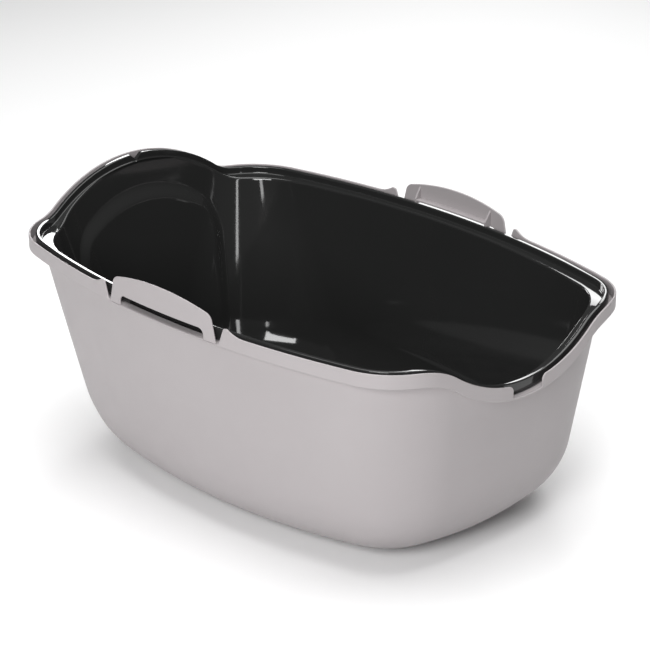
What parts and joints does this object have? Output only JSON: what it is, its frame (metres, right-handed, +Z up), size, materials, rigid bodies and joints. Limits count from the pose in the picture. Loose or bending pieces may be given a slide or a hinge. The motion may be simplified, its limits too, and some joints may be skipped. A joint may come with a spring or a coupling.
{
  "type": "pet bathtub with lift-out liner pan",
  "caption": "Oval pet tub: light outer shell with an arched high end and dipped low end, dark lift-out liner pan, and a spring latch on each long side.",
  "frame": {"origin": "on the floor, on the centre line, midway between the legs of the latches; 2 mm from the middle of the length", "axes": "+Z up, +X towards the low dipped end, -X towards the high arched end, the near long side is -Y"},
  "size_m": [0.576, 0.402, 0.2707],
  "materials": {
    "shell_plastic": "fine matte moulded polypropylene, light warm grey",
    "pan_plastic": "polished moulded polypropylene, charcoal"
  },
  "bodies": {
    "shell": {"outer_shell": "shell_plastic"},
    "pan": {"inner_pan": "pan_plastic"},
    "near_latch": {"latch_near": "shell_plastic"},
    "far_latch": {"latch_far": "shell_plastic"}
  },
  "joints": [
    {"name": "pan_lift", "type": "slide", "parent": "shell", "child": "pan", "axis": [0, 0, 1], "range_m": [0, 0.3]},
    {"name": "near_latch_flex", "type": "hinge", "parent": "shell", "child": "near_latch", "pos_m": [0, -0.19745, 0.2171], "axis": [0.9999, 0.0112, 0], "range_deg": [0, 12], "stiffness_Nm_per_rad": 0.6},
    {"name": "far_latch_flex", "type": "hinge", "parent": "shell", "child": "far_latch", "pos_m": [0, 0.19745, 0.2171], "axis": [-0.9999, 0.0112, 0], "range_deg": [0, 12], "stiffness_Nm_per_rad": 0.6}
  ]
}
